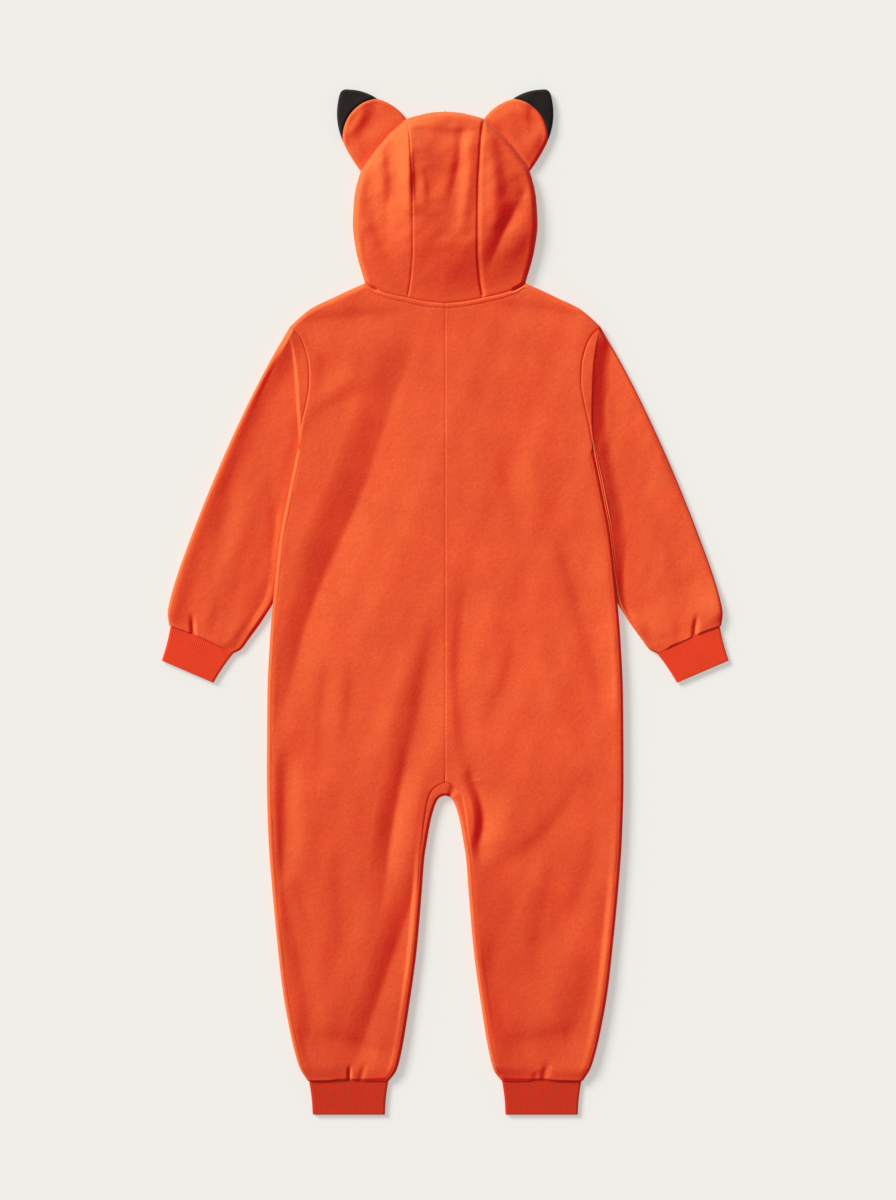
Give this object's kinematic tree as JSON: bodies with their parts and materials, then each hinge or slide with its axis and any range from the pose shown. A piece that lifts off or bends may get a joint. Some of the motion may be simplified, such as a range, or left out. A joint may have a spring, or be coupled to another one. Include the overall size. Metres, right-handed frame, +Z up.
{
  "type": "hooded onesie",
  "caption": "Hooded fleece onesie with ears on the hood, rib cuffs and a front zip, laid flat with its back up.",
  "frame": {"origin": "on the resting plane, under the middle of the garment's bounding box", "axes": "+Y from the feet to the hood, +X to the right as seen from above with the head away, +Z up out of the garment's back"},
  "size_m": [0.651, 1.1772, 0.0273],
  "materials": {
    "fleece": "brushed fleece with a short soft nap",
    "rib": "fine rib knit",
    "black_fleece": "brushed fleece with a short soft nap",
    "zip_tape": "woven tape",
    "zip_metal": "satin"
  },
  "bodies": {
    "suit": {"ankle_cuff_left": "rib", "ankle_cuff_right": "rib", "back_left": "fleece", "back_right": "fleece", "ear_back_left": "fleece", "ear_back_right": "fleece", "ear_front_left": "fleece", "ear_front_right": "fleece", "ear_tip_back_left": "black_fleece", "ear_tip_back_right": "black_fleece", "ear_tip_front_left": "black_fleece", "ear_tip_front_right": "black_fleece", "front_left": "fleece", "front_right": "fleece", "hood_centre": "fleece", "hood_side_left": "fleece", "hood_side_right": "fleece", "sleeve_left": "fleece", "sleeve_right": "fleece", "wrist_cuff_left": "rib", "wrist_cuff_right": "rib", "zip_slider": "zip_metal", "zip_tape_left": "zip_tape", "zip_tape_right": "zip_tape"},
    "pull": {"zip_pull": "zip_metal"}
  },
  "joints": [
    {"name": "pull_tab", "type": "hinge", "parent": "suit", "child": "pull", "pos_m": [0, 0.288, 0.00115], "axis": [1, 0, 0], "range_deg": [0, 160]}
  ]
}
